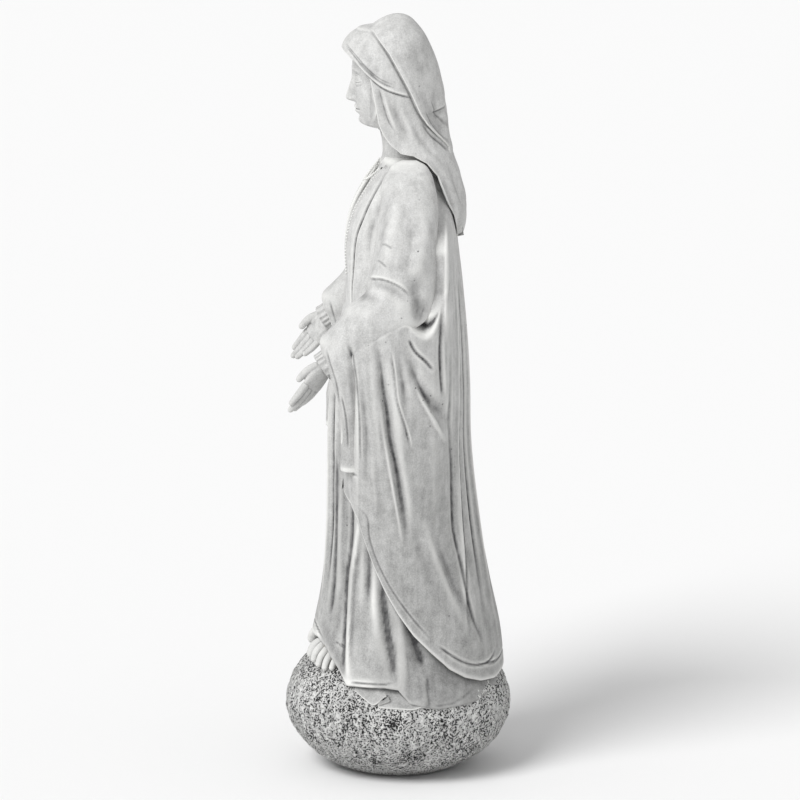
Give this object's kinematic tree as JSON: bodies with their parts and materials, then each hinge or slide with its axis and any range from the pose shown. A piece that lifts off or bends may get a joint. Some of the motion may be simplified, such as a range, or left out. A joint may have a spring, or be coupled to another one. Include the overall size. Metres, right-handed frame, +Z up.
{
  "type": "madonna statue",
  "caption": "Free-standing garden statue of a robed, veiled woman with open hands on a rough globe base, cast stone shells over a foam core and a steel rod.",
  "frame": {"origin": "under the middle of the globe, at the underside of its rubber pads", "axes": "+Z up; the figure faces -Y, so its left hand is on the +X side"},
  "size_m": [0.295, 0.255, 0.86],
  "materials": {
    "cast_stone": "smooth cast stone, pale grey with darker wash in the creases",
    "rough_stone": "rough pitted cast stone, grey",
    "ballast_concrete": "raw poured concrete",
    "rigid_foam": "rigid polyurethane foam",
    "zinc_steel": "zinc-plated steel",
    "black_rubber": "matt black rubber"
  },
  "bodies": {
    "root": {"gown": "cast_stone", "mantle": "cast_stone", "left_sleeve": "cast_stone", "right_sleeve": "cast_stone", "left_cuff": "cast_stone", "right_cuff": "cast_stone", "left_hand": "cast_stone", "right_hand": "cast_stone", "left_foot": "cast_stone", "right_foot": "cast_stone", "head": "cast_stone", "under_veil": "cast_stone", "over_veil": "cast_stone", "globe_base": "rough_stone", "ballast_core": "ballast_concrete", "figure_core": "rigid_foam", "anchor_rod": "zinc_steel", "anchor_nut": "zinc_steel", "anchor_washer": "zinc_steel", "base_plate": "zinc_steel", "neck_dowel": "zinc_steel", "left_hand_pin": "zinc_steel", "right_hand_pin": "zinc_steel", "base_pad_1": "black_rubber", "base_pad_2": "black_rubber", "base_pad_3": "black_rubber", "base_pad_4": "black_rubber"}
  },
  "joints": []
}
